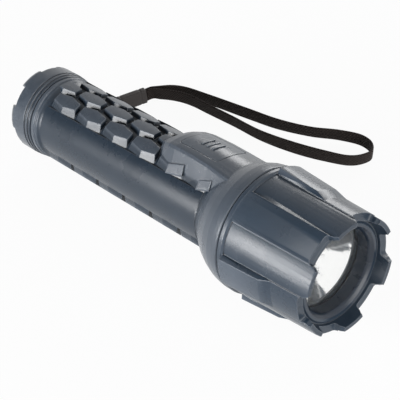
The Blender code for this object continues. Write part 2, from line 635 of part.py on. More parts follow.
def make_power():
    """Cells, contacts, tube and the conical tail spring."""
    turned("barrel_tube", [(TUBE_R, TUBE_REAR), (TUBE_R, TUBE_FRONT), (TUBE_BORE_R, TUBE_FRONT),
                           (TUBE_BORE_R, TUBE_REAR)], ALUMINIUM, FLASHLIGHT, 48)
    for name, start in (("battery_rear", REAR_CELL), ("battery_front", FRONT_CELL)):
        edge = 0.0010
        top = start + CELL_CAN
        profile = [(0.0, start), (CELL_R - edge, start), (CELL_R, start + edge), (CELL_R, top - edge),
                   (CELL_R - edge, top), (CELL_NUB_R, top), (CELL_NUB_R, top + CELL_NUB), (0.0, top + CELL_NUB)]
        turned(name, profile, CELL, FLASHLIGHT, SMALL_STEPS)
    contact = CELLS_END + FIT
    turned("front_contact", [(0.0, contact), (CONTACT_R - 0.0005, contact), (CONTACT_R, contact + 0.0005),
                             (CONTACT_R, contact + CONTACT_LENGTH), (0.0, contact + CONTACT_LENGTH)], BRASS,
           FLASHLIGHT, SMALL_STEPS)
    turned("contact_carrier", [(0.0, CARRIER_START), (TUBE_BORE_R - FIT, CARRIER_START),
                               (TUBE_BORE_R - FIT, CARRIER_START + CARRIER_LENGTH),
                               (0.0, CARRIER_START + CARRIER_LENGTH)], PLASTIC, FLASHLIGHT, SMALL_STEPS)
    lead_start = CARRIER_START + CARRIER_LENGTH + FIT
    lead_end = SINK_BACK - FIT
    route = [(0.004, 0, lead_start), (0.004, 0, lead_start + 0.0015), (0.0052, 0.0012, (lead_start + lead_end) / 2),
             (0.004, 0, lead_end - 0.0015), (0.004, 0, lead_end)]
    tube_curve("contact_lead", smooth_route(route, 12), LEAD_R, WIRE, FLASHLIGHT)
    disc = TAIL_FLOOR + FIT
    reach = TUBE_BORE_R - 0.00385
    turned("tail_contact", [(0.0, disc), (reach, disc), (reach, disc + CONTACT_DISC), (0.0, disc + CONTACT_DISC)],
           BRASS, TAIL_CARRIER, SMALL_STEPS)
    make_spring()


def make_spring():
    """Conical coil: the radius shrinks and the height climbs evenly along its turns."""
    points = int(SPRING_TURNS * SPRING_CURL_POINTS) + 1
    share = np.linspace(0.0, 1.0, points)
    angle = 2 * math.pi * SPRING_TURNS * share
    radius = SPRING_TAIL_R + (SPRING_CELL_R - SPRING_TAIL_R) * share
    rise = SPRING_START + SPRING_WIRE_R + (SPRING_LENGTH - 2 * SPRING_WIRE_R) * share
    coil = np.stack([radius * np.cos(angle), radius * np.sin(angle), rise], axis=1)
    one_turn = SPRING_CURL_POINTS
    gap = np.linalg.norm(coil[one_turn:] - coil[:-one_turn], axis=1).min() - 2 * SPRING_WIRE_R
    print(f"tail spring: least gap between turns {gap * 1000:.2f} mm")
    tube_curve("tail_spring", coil, SPRING_WIRE_R, STEEL, TAIL_CARRIER, 1)


def make_tail():
    """Screw-on tail cap with a lugged rim, its threaded ring and the seal on the tube."""
    bore = TUBE_R + FIT + 2 * ORING_WIRE_R + FIT
    front = TAIL_LENGTH
    rim_in = TAIL_R - TAIL_RIM
    dish = TAIL_LUG + TAIL_DISH
    profile = [(0.0, dish), (rim_in - 0.0008, dish), (rim_in, dish - 0.0008), (rim_in, 0.0), (TAIL_R - 0.0018, 0.0),
               (TAIL_R - 0.0007, 0.0012), (TAIL_R, 0.0030),
               (TAIL_R, 0.0122), (TAIL_R - 0.0007, 0.0125), (TAIL_R - 0.0007, 0.0131), (TAIL_R - 0.0002, 0.0134),
               (TAIL_R - 0.0002, 0.0146), (TAIL_R - 0.0009, 0.0149), (TAIL_R - 0.0009, 0.0155),
               (TAIL_R - 0.0005, 0.0158), (TAIL_R - 0.0005, front - 0.0004), (TAIL_R - 0.0009, front),
               (bore, front), (bore, TUBE_REAR - 0.0004), (TUBE_R - 0.0046, TUBE_REAR - 0.0004),
               (TUBE_R - 0.0046, TAIL_FLOOR),
               (0.0, TAIL_FLOOR)]
    cap = turned("tail_cap", profile, BODY, TAIL, 48)
    notch = 360.0 / TAIL_LUG_COUNT - TAIL_LUG_SPAN
    cut = [(rim_in - 0.001, -0.001), (TAIL_R + 0.001, -0.001), (TAIL_R + 0.001, TAIL_LUG), (rim_in - 0.001, TAIL_LUG)]
    for index in range(TAIL_LUG_COUNT):
        first = TAIL_LUG_FIRST + TAIL_LUG_SPAN / 2 + index * 360.0 / TAIL_LUG_COUNT
        combine(cap, sector(f"tail_notch_tool_{index}", cut, first, first + notch, TAIL), "DIFFERENCE")
    ring_front = front - 2 * ORING_WIRE_R - 3 * FIT
    turned("tail_thread_ring", [(bore - FIT, TUBE_REAR), (bore - FIT, ring_front), (TUBE_R + FIT, ring_front),
                                (TUBE_R + FIT, TUBE_REAR)], ALUMINIUM, TAIL, SMALL_STEPS)
    oring("tail_oring", TUBE_R + FIT + ORING_WIRE_R, ring_front + FIT + ORING_WIRE_R)


def oring(name, ring_radius, along):
    """A torus of seal rubber round the axis."""
    corner = [2 * math.pi * k / 6 for k in range(6)]
    profile = [(ring_radius + ORING_WIRE_R * math.cos(a), along + ORING_WIRE_R * math.sin(a)) for a in corner]
    turned(name, profile, RUBBER, FLASHLIGHT, SMALL_STEPS)


def shell_radius(along):
    """Outer radius of the head's plain shell, a straight taper from rear to front."""
    share = (along - SEAM) / HEAD_LENGTH
    return HEAD_REAR_R + (HEAD_FRONT_R - HEAD_REAR_R) * share


def notch_tool(name, middle, inside, outside):
    """Cutter for one notch between two front lugs: round corners at its floor, sides that open to the front."""
    wall = [(share * NOTCH_HALF, ahead) for share, ahead in NOTCH_SIDE]
    outline = wall + [(-angle, ahead) for angle, ahead in reversed(wall)]
    bm = bmesh.new()
    rings = []
    for radius in (inside, outside):
        ring = []
        for angle, ahead in outline:
            turn = math.radians(middle + angle)
            ring.append(bm.verts.new((radius * math.cos(turn), radius * math.sin(turn), NOTCH_FLOOR + ahead)))
        rings.append(ring)
    count = len(outline)
    for k in range(count):
        bm.faces.new((rings[0][k], rings[0][(k + 1) % count], rings[1][(k + 1) % count], rings[1][k]))
    bm.faces.new(rings[0])
    bm.faces.new(rings[1])
    return place_object(name, mesh_from(bm, name), None, HEAD)


def make_head():
    """Screw-on head: tapered shell, five raised platforms, six recessed sectors and six front lugs."""
    throat = SEAM + THROAT_FRONT
    lug_in = HEAD_FRONT_R - 0.0027
    outer = [(NECK_R - 0.0005, SEAM), (NECK_R, SEAM + 0.0005), (NECK_R, SEAM + 0.0024),
             (shell_radius(SEAM + 0.0028), SEAM + 0.0028), (shell_radius(HEAD_FRONT - 0.0012), HEAD_FRONT - 0.0012),
             (HEAD_FRONT_R - 0.0007, HEAD_FRONT)]
    front = [(lug_in, HEAD_FRONT), (lug_in - 0.0008, NOTCH_FLOOR + 0.0006), (LENS_R + 0.0033, throat + 0.0010),
             (LENS_R + 0.0027, throat + 0.0010), (LENS_R + 0.0019, throat + 0.0016), (LENS_R + 0.0003, throat + 0.0016),
             (THROAT_R + 0.0006, throat + 0.0004), (THROAT_R, throat - 0.0006), (THROAT_R, LENS_SHOULDER)]
    seat_r = LENS_R + FIT
    inner = [(seat_r, LENS_SHOULDER), (seat_r, RING_FRONT + 0.0016), (HEAD_BORE_R, RING_FRONT + 0.0016),
             (HEAD_BORE_R, SEAM)]
    head = turned("head_shell", outer + front + inner, BODY, HEAD, 72)
    width = 360.0 / HEAD_SECTORS
    for index in range(HEAD_SECTORS // 2):
        middle = HEAD_CLOCK + index * 2 * width
        last = middle + width / 2
        combine(head, notch_tool(f"notch_tool_{index}", middle, lug_in - 0.0012, NECK_R + 0.004), "DIFFERENCE")
        panel = [(shell_radius(RAISED_REAR) - PANEL_RECESS, RAISED_REAR), (0.036, RAISED_REAR),
                 (0.036, HEAD_FRONT + 0.001), (shell_radius(HEAD_FRONT) - PANEL_RECESS, HEAD_FRONT + 0.001)]
        combine(head, sector(f"panel_tool_{index}", panel, last, last + width, HEAD, step=5.0), "DIFFERENCE")
    for index in RAISED_SECTORS:
        middle = HEAD_CLOCK + index * 2 * width
        flat_end = RAISED_REAR + RAISED_LENGTH
        slope_end = flat_end + RAISED_SLOPE
        inside = HEAD_FRONT_R - 0.0006
        profile = [(PLATFORM_R, RAISED_REAR), (PLATFORM_FRONT_R, flat_end),
                   (shell_radius(slope_end) - 0.0008, slope_end), (inside, slope_end), (inside, RAISED_REAR)]
        combine(head, sector(f"raised_tool_{index}", profile, middle - width / 2, middle + width / 2, HEAD,
                             step=5.0), "UNION")
    make_optics()
    turned("head_thrust_washer", [(RING_R - 0.0002, RING_FRONT + FIT), (RING_R - 0.0002, RING_FRONT + FIT + 0.0010),
                                  (RING_R - 0.0028, RING_FRONT + FIT + 0.0010), (RING_R - 0.0028, RING_FRONT + FIT)],
           PLASTIC, HEAD_CARRIER, SMALL_STEPS)


def make_optics():
    """Reflector bowl (a paraboloid), lens disc, its gasket and the ring that clamps them."""
    depth = REFLECTOR_DEPTH
    back = RIM - depth
    ratio = (REFLECTOR_RIM_R / REFLECTOR_HOLE_R) ** 2
    apex = back - depth / (ratio - 1)
    inside = []
    for share in np.linspace(0.0, 1.0, 9) ** 1.4:
        along = back + depth * float(share)
        inside.append((REFLECTOR_RIM_R * math.sqrt((along - apex) / (RIM - apex)), along))
    outside = [(r + REFLECTOR_WALL, z) for r, z in inside[2:] if z < RIM - FLANGE - 0.0010]
    neck_r = REFLECTOR_HOLE_R + 0.0025
    neck = SINK_FRONT + FIT + BOARD_THICK + 0.0005
    profile = (inside + [(LENS_R, RIM), (LENS_R, RIM - FLANGE), (outside[-1][0] + 0.0004, RIM - FLANGE)]
               + list(reversed(outside)) + [(neck_r, outside[0][1]), (neck_r, neck), (REFLECTOR_HOLE_R, neck)])
    turned("reflector", profile, CHROME, HEAD, 40)
    turned("lens", [(0.0, LENS_BACK), (LENS_R, LENS_BACK), (LENS_R, LENS_BACK + LENS_THICK),
                    (0.0, LENS_BACK + LENS_THICK)], CLEAR, HEAD, 48)
    turned("lens_gasket", [(LENS_R, GASKET_BACK), (LENS_R, GASKET_BACK + GASKET_THICK),
                           (THROAT_R + FIT, GASKET_BACK + GASKET_THICK), (THROAT_R + FIT, GASKET_BACK)], RUBBER, HEAD,
           48)
    turned("reflector_ring", [(LENS_R, CLAMP_BACK), (LENS_R, CLAMP_FRONT), (LENS_R - 0.0018, CLAMP_FRONT),
                              (LENS_R - 0.0018, CLAMP_BACK)], ALUMINIUM, HEAD, 48)


def make_light_engine():
    """Threaded neck ring, head seal, heatsink, LED board and emitter."""
    inner_r = RING_R - RING_WALL
    groove = SEAM + 0.0026
    groove_r = RING_R - ORING_GROOVE
    turned("neck_ring", [(RING_R, RING_BACK), (RING_R, groove), (groove_r, groove), (groove_r, groove + 0.0026),
                         (RING_R, groove + 0.0026), (RING_R, RING_FRONT), (inner_r, RING_FRONT),
                         (inner_r, RING_BACK)], ALUMINIUM, FLASHLIGHT, 40)
    oring("head_oring", RING_R - ORING_WIRE_R, groove + 0.0013)
    sink_r = inner_r - FIT
    disc_end = SINK_BACK + SINK_DISC
    profile = [(0.0, SINK_BACK), (sink_r, SINK_BACK), (sink_r, disc_end), (SINK_POST_R + 0.003, disc_end),
               (SINK_POST_R, disc_end + 0.003), (SINK_POST_R, SINK_FRONT), (0.0, SINK_FRONT)]
    turned("heatsink", profile, ALUMINIUM, FLASHLIGHT, 40)
    board = SINK_FRONT + FIT
    turned("led_board", [(0.0, board), (BOARD_R, board), (BOARD_R, board + BOARD_THICK), (0.0, board + BOARD_THICK)],
           BOARD, FLASHLIGHT, SMALL_STEPS)
    base = board + BOARD_THICK + FIT
    half = EMITTER_SIDE / 2
    emitter = box("led_emitter", (-half, -half, base), (half, half, base + 0.0010), LED, FLASHLIGHT)
    dome = [(0.0, base + 0.0005)]
    dome += [(EMITTER_DOME_R * math.cos(a), base + 0.0010 + EMITTER_DOME_R * math.sin(a))
             for a in np.radians((0, 20, 40, 60, 78)).tolist()]
    dome.insert(1, (EMITTER_DOME_R, base + 0.0005))
    dome.append((0.0, base + 0.0010 + EMITTER_DOME_R))
    combine(emitter, turned("dome_tool", dome, None, FLASHLIGHT, SMALL_STEPS), "UNION")


def make_strap():
    """Wrist strap on the floor: knotted string through the lug, keeper, and a flat band on its edge."""
    turn = math.radians(SLEEVE_TURN)
    along = np.array([math.cos(turn), math.sin(turn), 0.0])
    across = np.array([along[1], -along[0], 0.0])
    length, thick, height = SLEEVE
    front = np.array([*SLEEVE_FRONT, height / 2])
    back = front - along * length
    sleeve = box("strap_sleeve", (-length, -thick / 2, -height / 2), (0.0, thick / 2, height / 2), WEBBING, None, 0.0009)
    sleeve.location = front
    sleeve.rotation_euler = (0.0, 0.0, turn)

    to_world = FLASHLIGHT.matrix_world
    eye = to_world @ Vector(polar(LUG_HOLE[0], LUG_ANGLE, LUG_HOLE[1]))
    upward = np.array(to_world.to_3x3() @ Vector((1.0, 0.0, 0.0)))
    knot = np.array(eye) + upward * (LUG_THICK / 2 + FIT + KNOT_R)
    below = [knot - upward * d for d in (0.0, 0.003, 0.006, 0.009)]
    meet = back - along * FIT
    string = below + [np.array(p) for p in STRING_ROUTE] + [meet - along * 0.006, meet - along * 0.003, meet]
    ring = [(STRING_R * math.cos(a), STRING_R * math.sin(a)) for a in np.linspace(0, 2 * math.pi, 6, endpoint=False)]
    cord = swept("strap_string", smooth_route(string, 32), ring, (0.0, 1.0, 0.0), WEBBING, None)
    bm = bmesh.new()
    bmesh.ops.create_icosphere(bm, subdivisions=2, radius=KNOT_R)
    tool = place_object("knot_tool", mesh_from(bm, "knot_tool"), None, None)
    tool.location = knot
    combine(cord, tool, "UNION")

    side = (BAND_THICK + FIT) / 2
    out = front + along * FIT - across * side
    home = front + along * FIT + across * side
    floor_route = [np.array([x, y, height / 2]) for x, y in BAND_ROUTE]
    band = [out, out + along * 0.004] + floor_route + [home + along * 0.004, home]
    half_thick, half_width = BAND_THICK / 2, BAND_WIDTH / 2
    outline = [(half_thick, -half_width), (half_thick, half_width), (-half_thick, half_width),
               (-half_thick, -half_width)]
    swept("strap_band", smooth_route(band, 78), outline, (0.0, 0.0, 1.0), WEBBING, None)


make_housing()
make_switch()
make_power()
make_tail()
make_light_engine()
make_head()
make_strap()
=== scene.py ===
# %% [markdown]
# # A battery flashlight with a honeycomb grip
# The solids of the flashlight come packed as a frame, in metres: the floor is at Z = 0, the barrel runs
# along X and the head is at +X. This lesson dresses them: the camera first, then the wrist strap, which is
# woven anew as fine surfaces, the slate plastic of the body and its head, the reflector's polished bowl and
# the finish of every other part, and last the floor, the world and the lamps.

# %% Load the frame
import json
import math

import bmesh
import bpy
import numpy as np
from mathutils import Matrix, Vector


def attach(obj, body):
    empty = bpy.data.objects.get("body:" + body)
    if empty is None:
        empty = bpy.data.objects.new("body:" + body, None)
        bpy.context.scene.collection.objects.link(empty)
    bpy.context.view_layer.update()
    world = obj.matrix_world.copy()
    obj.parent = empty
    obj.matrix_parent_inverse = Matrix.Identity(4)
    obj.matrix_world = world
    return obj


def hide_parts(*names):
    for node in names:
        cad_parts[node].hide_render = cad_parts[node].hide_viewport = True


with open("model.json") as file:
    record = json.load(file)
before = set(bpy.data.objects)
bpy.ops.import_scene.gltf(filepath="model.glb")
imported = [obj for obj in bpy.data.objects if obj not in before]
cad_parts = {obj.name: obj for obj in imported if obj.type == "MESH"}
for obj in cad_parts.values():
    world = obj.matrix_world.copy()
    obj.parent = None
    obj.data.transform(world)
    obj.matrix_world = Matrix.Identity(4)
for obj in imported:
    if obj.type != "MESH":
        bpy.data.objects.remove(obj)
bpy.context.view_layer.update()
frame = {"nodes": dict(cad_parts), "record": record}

RECORD = frame["record"]

# %% [markdown]
# The pattern of a finish often follows the barrel: a turned ring runs round it, and a worn top is a place
# far from its axis. The record gives the axis that the head unscrews along, so it is read there once.

# %% The barrel's axis
HEAD_TURN = next(joint for joint in RECORD["behaviour"]["joints"] if joint["name"] == "head_turn")
AXIS_POINT = np.array(HEAD_TURN["pos_m"])
AXIS = np.array(HEAD_TURN["axis"]) / np.linalg.norm(HEAD_TURN["axis"])
SIDE = np.cross([0.0, 0.0, 1.0], AXIS)
SIDE /= np.linalg.norm(SIDE)
RISE = np.cross(AXIS, SIDE)
print("axis", AXIS.round(4), "through", AXIS_POINT.round(4))

# %% [markdown]
# The photograph looks down on the light from the head's side with a long lens. Azimuth turns the camera
# round the object, elevation lifts it, and the roll is the small lean of the picture. The lens is given for
# a square frame on a 36 mm sensor.

# %% Camera
CAMERA_PLACE = (0.3737, -0.3013, 0.4365)
CAMERA_AZIMUTH = 50.14
CAMERA_ELEVATION = 41.15
CAMERA_ROLL = -6.31
CAMERA_LENS = 114.3


def camera_axes(azimuth, elevation, roll):
    """Right, up and back: back points from the object to the camera, and roll turns right towards up."""
    a, e, r = (math.radians(angle) for angle in (azimuth, elevation, roll))
    back = Vector((math.sin(a) * math.cos(e), -math.cos(a) * math.cos(e), math.sin(e)))
    level = Vector((math.cos(a), math.sin(a), 0.0))
    upright = back.cross(level)
    right = level * math.cos(r) + upright * math.sin(r)
    return right, back.cross(right), back


camera = bpy.data.objects.new("camera", bpy.data.cameras.new("camera"))
bpy.context.scene.collection.objects.link(camera)
camera.data.lens = CAMERA_LENS
camera.data.sensor_width = 36.0
camera.data.clip_start = 0.01
camera.matrix_world = Matrix.Translation(CAMERA_PLACE) @ Matrix(
    camera_axes(CAMERA_AZIMUTH, CAMERA_ELEVATION, CAMERA_ROLL)).transposed().to_4x4()
bpy.context.scene.camera = camera
print("camera to object:", round((Vector(CAMERA_PLACE) - Vector(AXIS_POINT)).length, 3), "m")

# %% [markdown]
# Materials are written as sums and products. A Signal holds one socket, and each operator on it adds the
# Math node that does the same, so a mask reads like the formula it is. Every other node comes from one
# method, `add`, which takes the node's type, its settings and what goes into its sockets. Nodes holds what
# a material and the world share, and Finish adds what only a surface has.


# %% Writing node trees as expressions
class Signal:
    """A socket whose operators add Math nodes."""

    def __init__(self, nodes, socket):
        self.nodes, self.socket = nodes, socket

    def __add__(self, other):
        return self.nodes.math("ADD", self, other)

    def __radd__(self, other):
        return self.nodes.math("ADD", other, self)

    def __sub__(self, other):
        return self.nodes.math("SUBTRACT", self, other)

    def __rsub__(self, other):
        return self.nodes.math("SUBTRACT", other, self)

    def __mul__(self, other):
        return self.nodes.math("MULTIPLY", self, other)

    def __rmul__(self, other):
        return self.nodes.math("MULTIPLY", other, self)


class Nodes:
    """The nodes of one material or of the world."""

    def __init__(self, tree):
        self.tree = tree
        self.count = 0

    def add(self, kind, settings=None, inputs=None, output=0):
        """Add a node: settings first, then values or Signals into its sockets; return one output."""
        node = self.tree.nodes.new(kind)
        node.location = (-220 * (1 + self.count % 9), -180 * (self.count // 9))
        self.count += 1
        for name, value in (settings or {}).items():
            setattr(node, name, value)
        for name, value in (inputs or {}).items():
            self.feed(node.inputs[name], value)
        return Signal(self, node.outputs[output])

    def feed(self, socket, value):
        if isinstance(value, Signal):
            self.tree.links.new(value.socket, socket)
        else:
            socket.default_value = value

    def math(self, operation, first, second=0.0):
        return self.add("ShaderNodeMath", {"operation": operation}, {0: first, 1: second})

    def vector(self, operation, first, second=None, output="Vector"):
        inputs = {0: first} if second is None else {0: first, 1: second}
        return self.add("ShaderNodeVectorMath", {"operation": operation}, inputs, output)

    def is_seen(self):
        """1 for what is seen, straight or by way of a mirror or a clear part, and 0 for what gives light."""
        camera_ray, mirror_ray, clear_ray = (self.add("ShaderNodeLightPath", output=f"Is {kind} Ray")
                                             for kind in ("Camera", "Glossy", "Transmission"))
        return self.math("MAXIMUM", self.math("MAXIMUM", camera_ray, mirror_ray), clear_ray)

    def show(self, first, second, factor):
        """Send a mix of two shaders to the tree's output."""
        mix = self.add("ShaderNodeMixShader", {}, {0: factor, 1: first, 2: second})
        output = next(node for node in self.tree.nodes if node.type.startswith("OUTPUT"))
        self.feed(output.inputs["Surface"], mix)


class Finish(Nodes):
    """One material: a Principled shader, and the nodes that feed it."""

    def __init__(self, name):
        self.material = bpy.data.materials.new(name)
        self.material.use_nodes = True
        super().__init__(self.material.node_tree)
        self.shader = self.tree.nodes["Principled BSDF"]

    def paint(self, **sockets):
        """Set or link the shader's sockets, named with _ for a space."""
        for name, value in sockets.items():
            self.feed(self.shader.inputs[name.replace("_", " ")], value)
        return self.material

    def place(self):
        """Object coordinates, which are metres in the flashlight's own frame."""
        return self.add("ShaderNodeTexCoord", output="Object")

    def noise(self, scale, detail=2.0, roughness=0.5):
        """Noise from 0 to 1 with `scale` cells in a metre."""
        inputs = {"Vector": self.place(), "Scale": scale, "Detail": detail, "Roughness": roughness}
        return self.add("ShaderNodeTexNoise", {}, inputs, "Fac")

    def ramp(self, value, low, high, start=0.0, end=1.0):
        """Straight line from start at low to end at high, held flat outside."""
        inputs = {"Value": value, "From Min": low, "From Max": high, "To Min": start, "To Max": end}
        return self.add("ShaderNodeMapRange", {"clamp": True}, inputs)

    def blend(self, factor, first, second):
        """Colour that runs from first to second as factor goes from 0 to 1."""
        inputs = {"Factor": factor, "A": first, "B": second}
        return self.add("ShaderNodeMix", {"data_type": "RGBA"}, inputs, 2)

    def bump(self, height, distance, normal=None):
        inputs = {"Height": height, "Distance": distance, "Strength": 1.0}
        if normal is not None:
            inputs["Normal"] = normal
        return self.add("ShaderNodeBump", {}, inputs, "Normal")

    def rounded(self, radius):
        """Normal that turns smoothly round edges, as if they had this radius."""
        return self.add("ShaderNodeBevel", {"samples": 8}, {"Radius": radius}, "Normal")

    def edges(self, rounded):
        """Mask of the edges: 1 - rounded normal . true normal, stretched to reach 1 well before 0.29, its
        value in the middle of a right angle."""
        true = self.add("ShaderNodeNewGeometry", output="Normal")
        return self.ramp(1.0 - self.vector("DOT_PRODUCT", rounded, true, "Value"), 0.01, 0.20)

    def hollow_shade_mask(self, distance):
        """1 in a recess where walls stand close, 0 in the open: where shade is painted."""
        open_share = self.add("ShaderNodeAmbientOcclusion", {"samples": 12, "only_local": True},
                              {"Distance": distance}, "AO")
        return 1.0 - open_share

    def offset(self):
        """The vector from the tail end of the barrel's axis: place - point."""
        return self.vector("SUBTRACT", self.place(), tuple(AXIS_POINT))

    def from_axis(self):
        """Distance from the barrel's axis: the length of offset x axis."""
        return self.vector("LENGTH", self.vector("CROSS_PRODUCT", self.offset(), tuple(AXIS)), output="Value")

    def along_axis(self):
        """Distance along the barrel from the tail: offset . axis."""
        return self.vector("DOT_PRODUCT", self.offset(), tuple(AXIS), "Value")

    def unfaceted(self, normal):
        """Take a turned wall's facets out of a normal: its small part along the tangent goes."""
        tangent = self.vector("NORMALIZE", self.vector("CROSS_PRODUCT", tuple(AXIS), self.offset()))
        lean = self.vector("DOT_PRODUCT", normal, tangent, "Value")
        drop = lean * self.ramp(self.math("ABSOLUTE", lean), 0.09, 0.17, 1.0, 0.0)
        unfaceted = self.vector("SUBTRACT", normal, self.vector("MULTIPLY", tangent, drop))
        return self.vector("NORMALIZE", unfaceted)


def rgb(red, green, blue):
    return (red, green, blue, 1.0)


print("expression helpers ready")

# %% [markdown]
# A part that keeps its CAD shape only needs its material changed. The helper below puts one finish on every
# slot of the named nodes.


# %% Dressing a node
def dress(material, *names):
    for name in names:
        node = frame["nodes"][name]
        for slot in node.material_slots:
            slot.material = material
        if not node.material_slots:
            node.data.materials.append(material)
    print(material.name, "->", ", ".join(names))


# %% [markdown]
# A new piece is a surface over two parameters. The whole grid of points is worked out at once as an array
# of rows and columns, and this helper turns it into a mesh. A row runs once round the piece, so its last
# column joins its first, and each end may be closed by a fan to one point.


# %% Surface from a grid of points
def linked(name, mesh, material):
    """The mesh as an object of the scene, with one material."""
    mesh.materials.append(material)
    piece = bpy.data.objects.new(name, mesh)
    bpy.context.scene.collection.objects.link(piece)
    return piece


def surface(name, grid, material, ends=(None, None), across=None, along=None):
    """Mesh of quads over grid[row, column]; ends gives the point that closes each end."""
    rows, columns = grid.shape[:2]
    points = grid.reshape(-1, 3)
    index = np.arange(rows * columns).reshape(rows, columns)
    right = np.roll(index, -1, axis=1)
    quads = np.stack([index[:-1], right[:-1], right[1:], index[1:]], axis=-1).reshape(-1, 4)
    faces = quads.tolist()
    for cap, row, forward in ((ends[0], 0, False), (ends[1], rows - 1, True)):
        if cap is not None:
            tip = len(points)
            points = np.vstack([points, cap])
            first, second = index[row], right[row]
            fan = np.stack([first, second, np.full(len(first), tip)], axis=-1)
            faces += (fan if forward else fan[:, ::-1]).tolist()
    mesh = bpy.data.meshes.new(name)
    mesh.from_pydata(points.tolist(), [], faces)
    mesh.validate()
    work = bmesh.new()
    work.from_mesh(mesh)
    bmesh.ops.recalc_face_normals(work, faces=work.faces)
    work.to_mesh(mesh)
    work.free()
    mesh.shade_smooth()
    if along is not None:
        write_layout(mesh, along, across)
    print(name, len(mesh.vertices), "points,", len(mesh.polygons), "faces")
    return linked(name, mesh, material)


def write_layout(mesh, along, across):
    """Store where each point lies on the cloth, in metres along it and across it, as attributes."""
    for title, values in (("along", along), ("across", across)):
        full = np.zeros(len(mesh.vertices))
        full[:values.size] = values.ravel()
        layer = mesh.attributes.new(title, "FLOAT", "POINT")
        layer.data.foreach_set("value", full)


print("surface helper ready")

# %% [markdown]
# The strap is one soft thing in three pieces: a thin string knotted in the lug's hole, a keeper, and a flat
# band that stands on its edge on the floor. Its route is the one that the solids follow, point for point.

# %% Route of the strap
BAND_WIDTH = 0.0078
BAND_THICK = 0.0013
STRING_R = 0.0009
KNOT_R = 0.0026
FIT = 0.0003
KEEPER = (0.0210, 0.0046, 0.0090)
KEEPER_FRONT = (-0.0953, 0.0586)
KEEPER_TURN = 72.0
LUG_HOLE = (0.0252, 0.0240)
LUG_ANGLE = -90.0
LUG_THICK = 0.0030
REST_ROLL = 18.5
STRING_ROUTE = ((-0.0871, 0.0215, 0.0085), (-0.0889, 0.0216, 0.0040), (-0.0929, 0.0229, 0.0016),
                (-0.0983, 0.0252, 0.0014), (-0.1026, 0.0286, 0.0027))
BAND_ROUTE = (
    (-0.0927, 0.0653), (-0.0869, 0.0714), (-0.0797, 0.0753), (-0.0645, 0.0788), (-0.0371, 0.0839),
    (-0.0186, 0.0876), (0.0002, 0.0944), (0.0135, 0.1019), (0.0258, 0.1062), (0.0334, 0.1049),
    (0.0375, 0.1002), (0.0362, 0.0944), (0.0319, 0.0893), (0.0196, 0.0838), (0.0022, 0.0783),
    (-0.0188, 0.0743), (-0.0388, 0.0736), (-0.0583, 0.0725), (-0.0696, 0.0719), (-0.0773, 0.0704),
    (-0.0845, 0.0675), (-0.0899, 0.0643))


def smooth_route(route, count):
    """Even steps along a centripetal Catmull-Rom curve, whose knots are the square roots of the spans."""
    route = np.asarray(route, float)
    ends = np.vstack([2 * route[0] - route[1], route, 2 * route[-1] - route[-2]])
    pieces = []
    for a, b, c, d in zip(ends, ends[1:], ends[2:], ends[3:]):
        t0 = 0.0
        t1 = t0 + math.sqrt(np.linalg.norm(b - a))
        t2 = t1 + math.sqrt(np.linalg.norm(c - b))
        t3 = t2 + math.sqrt(np.linalg.norm(d - c))
        t = np.linspace(t1, t2, 24, endpoint=False)[:, None]
        ab = (t1 - t) / (t1 - t0) * a + (t - t0) / (t1 - t0) * b
        bc = (t2 - t) / (t2 - t1) * b + (t - t1) / (t2 - t1) * c
        cd = (t3 - t) / (t3 - t2) * c + (t - t2) / (t3 - t2) * d
        abc = (t2 - t) / (t2 - t0) * ab + (t - t0) / (t2 - t0) * bc
        bcd = (t3 - t) / (t3 - t1) * bc + (t - t1) / (t3 - t1) * cd
        pieces.append((t2 - t) / (t2 - t1) * abc + (t - t1) / (t2 - t1) * bcd)
    fine = np.vstack(pieces + [route[-1:]])
    travelled = np.concatenate([[0.0], np.cumsum(np.linalg.norm(np.diff(fine, axis=0), axis=1))])
    wanted = np.linspace(0.0, travelled[-1], count)
    return np.stack([np.interp(wanted, travelled, fine[:, axis]) for axis in range(3)], axis=1)


def body_point(radius, angle, along):
    """World place of a point: its radius, its angle from the switch towards the viewer, and its distance."""
    turn = math.radians(angle - REST_ROLL)
    return AXIS_POINT + AXIS * along + radius * (RISE * math.cos(turn) - SIDE * math.sin(turn))


keeper_turn = math.radians(KEEPER_TURN)
keeper_along = np.array([math.cos(keeper_turn), math.sin(keeper_turn), 0.0])
keeper_across = np.array([keeper_along[1], -keeper_along[0], 0.0])
keeper_front = np.array([*KEEPER_FRONT, KEEPER[2] / 2])
keeper_back = keeper_front - keeper_along * KEEPER[0]

eye = body_point(LUG_HOLE[0], LUG_ANGLE, LUG_HOLE[1])
upward = body_point(1.0, 0.0, 0.0) - AXIS_POINT
knot = eye + upward * (LUG_THICK / 2 + FIT + KNOT_R)
meet = keeper_back - keeper_along * FIT
string_points = ([knot - upward * d for d in (0.0, 0.003, 0.006, 0.009)] + [np.array(p) for p in STRING_ROUTE]
                 + [meet - keeper_along * 0.006, meet - keeper_along * 0.003, meet])
side = (BAND_THICK + FIT) / 2
band_out = keeper_front + keeper_along * FIT - keeper_across * side
band_home = keeper_front + keeper_along * FIT + keeper_across * side
band_points = ([band_out, band_out + keeper_along * 0.004]
               + [np.array([x, y, KEEPER[2] / 2]) for x, y in BAND_ROUTE]
               + [band_home + keeper_along * 0.004, band_home])


def length_of(path):
    return float(np.linalg.norm(np.diff(path, axis=0), axis=1).sum())


print("lug hole", eye.round(4), "string", round(length_of(smooth_route(string_points, 200)), 4),
      "band", round(length_of(smooth_route(band_points, 400)), 4))

# %% [markdown]
# Webbing is woven: warp threads run along it, weft threads cross it, and each passes over and under the
# next. The height of a thread is a sine of the distance across or along, and which of the two is on top
# flips like a chessboard. The attributes `along` and `across`, in metres, carry the pattern round every
# bend.


